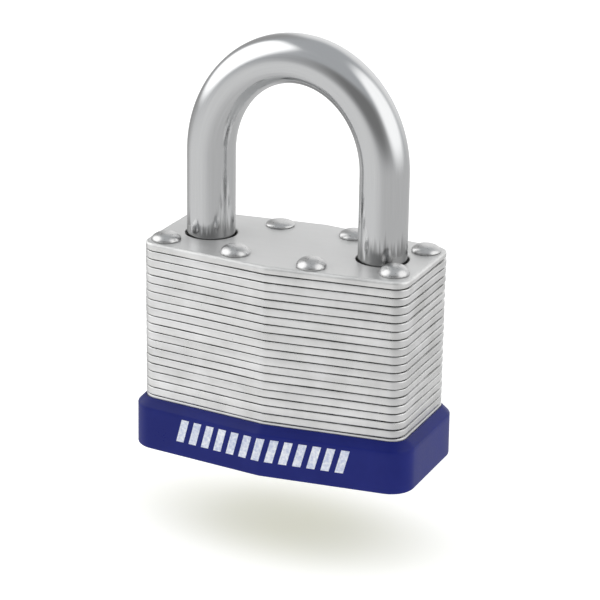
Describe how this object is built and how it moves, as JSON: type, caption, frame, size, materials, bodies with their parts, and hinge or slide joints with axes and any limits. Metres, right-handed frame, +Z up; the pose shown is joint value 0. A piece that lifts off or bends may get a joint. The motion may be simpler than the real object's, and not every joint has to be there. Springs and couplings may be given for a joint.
{
  "type": "laminated padlock",
  "caption": "Laminated steel padlock: riveted plate body, round chromed shackle, cam-driven locking bolts, pin tumbler cylinder and a blue plastic bumper round the base.",
  "frame": {"origin": "centre of the bounding box's footprint, on the underside of the bumper", "axes": "+Z up along the shackle's legs and the plug's axis, X across the two legs with the heel leg at -X, front towards -Y"},
  "size_m": [0.0692, 0.0384, 0.0987],
  "materials": {
    "plate_steel": "satin rolled sheet with punched, lightly rounded edges",
    "inner_plate_steel": "plain sheet, hidden by the bumper",
    "rivet_steel": "bright domed heads",
    "shackle_chrome": "bright plating over hardened steel, softly polished",
    "hardened_steel": "ground, as hardened",
    "spring_steel": "drawn wire",
    "brass": "machined",
    "pin_brass": "turned",
    "bumper_plastic": "moulded navy blue, half gloss"
  },
  "bodies": {
    "body": {"top_plate": "plate_steel", "guide_plate_01": "plate_steel", "guide_plate_02": "plate_steel", "bolt_plate_upper": "plate_steel", "bolt_plate_lower": "plate_steel", "guide_plate_05": "plate_steel", "guide_plate_06": "plate_steel", "guide_plate_07": "plate_steel", "guide_plate_08": "plate_steel", "retainer_plate": "plate_steel", "guide_plate_10": "plate_steel", "ring_plate": "plate_steel", "cylinder_plate_12": "plate_steel", "cylinder_plate_13": "plate_steel", "cylinder_plate_14": "plate_steel", "cylinder_plate_15": "plate_steel", "cylinder_plate_16": "plate_steel", "cylinder_plate_17": "plate_steel", "cylinder_plate_18": "plate_steel", "cylinder_plate_19": "plate_steel", "cylinder_plate_20": "inner_plate_steel", "cylinder_plate_21": "inner_plate_steel", "cylinder_plate_22": "inner_plate_steel", "bottom_plate": "inner_plate_steel", "rivet_front_1": "rivet_steel", "rivet_front_2": "rivet_steel", "rivet_front_3": "rivet_steel", "rivet_front_4": "rivet_steel", "rivet_back_1": "rivet_steel", "rivet_back_2": "rivet_steel", "rivet_back_3": "rivet_steel", "rivet_back_4": "rivet_steel", "cylinder_shell": "brass", "pin_cover": "brass", "shackle_retainer": "hardened_steel", "shackle_spring": "spring_steel", "bumper": "bumper_plastic", "driver_pin_1": "hardened_steel", "driver_pin_2": "hardened_steel", "driver_pin_3": "hardened_steel", "driver_pin_4": "hardened_steel", "pin_spring_1": "spring_steel", "pin_spring_2": "spring_steel", "pin_spring_3": "spring_steel", "pin_spring_4": "spring_steel"},
    "shackle": {"shackle": "shackle_chrome"},
    "plug": {"plug": "brass", "plug_ring": "spring_steel", "locking_cam": "hardened_steel", "key_pin_1": "pin_brass", "key_pin_2": "pin_brass", "key_pin_3": "pin_brass", "key_pin_4": "pin_brass"},
    "bolt_left": {"locking_bolt_left": "hardened_steel"},
    "bolt_right": {"locking_bolt_right": "hardened_steel"}
  },
  "joints": [
    {"name": "plug_turn", "type": "hinge", "parent": "body", "child": "plug", "pos_m": [0, 0, 0.00205], "axis": [0, 0, 1], "range_deg": [-90, 0]},
    {"name": "bolt_left_slide", "type": "slide", "parent": "body", "child": "bolt_left", "axis": [1, 0, 0], "range_m": [-0.0023, 0]},
    {"name": "bolt_right_slide", "type": "slide", "parent": "body", "child": "bolt_right", "axis": [-1, 0, 0], "range_m": [-0.0023, 0]},
    {"name": "shackle_lift", "type": "slide", "parent": "body", "child": "shackle", "axis": [0, 0, 1], "range_m": [0, 0.015], "deforming": ["shackle_spring"]}
  ],
  "couplings": [
    {"joint": "plug_turn", "follows": "bolt_left_slide", "rad_per_m": 682.95},
    {"joint": "bolt_right_slide", "follows": "bolt_left_slide", "ratio": 1}
  ]
}
